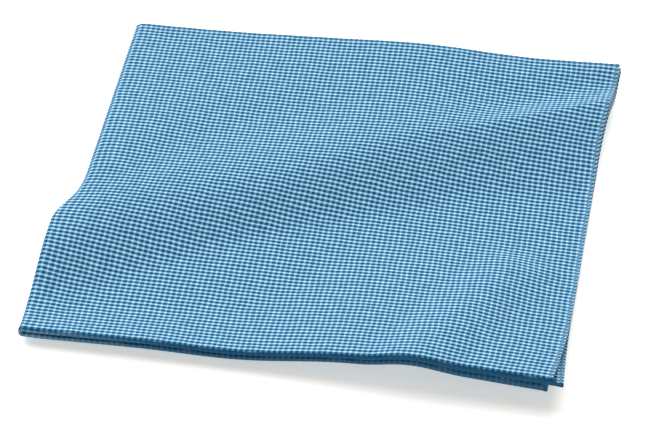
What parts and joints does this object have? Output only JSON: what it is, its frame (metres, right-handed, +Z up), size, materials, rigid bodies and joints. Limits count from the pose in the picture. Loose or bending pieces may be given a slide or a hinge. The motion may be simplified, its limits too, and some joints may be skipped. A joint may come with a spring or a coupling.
{
  "type": "folded pocket square",
  "caption": "Square cotton cloth with narrow hems, folded in quarters and lying flat in soft waves, in a fine two-tone check.",
  "frame": {"origin": "centre of the bounding box in plan, at the surface that the cloth lies on", "axes": "+Z up, -Y the edge with the two stacked folds, -X the edge with the single nested fold, +X and +Y the open hemmed edges"},
  "size_m": [0.1676, 0.1676, 0.0137],
  "materials": {
    "checked_cotton": "matt plain weave in a fine blue and white check"
  },
  "bodies": {
    "root": {"folded_square": "checked_cotton"}
  },
  "joints": []
}
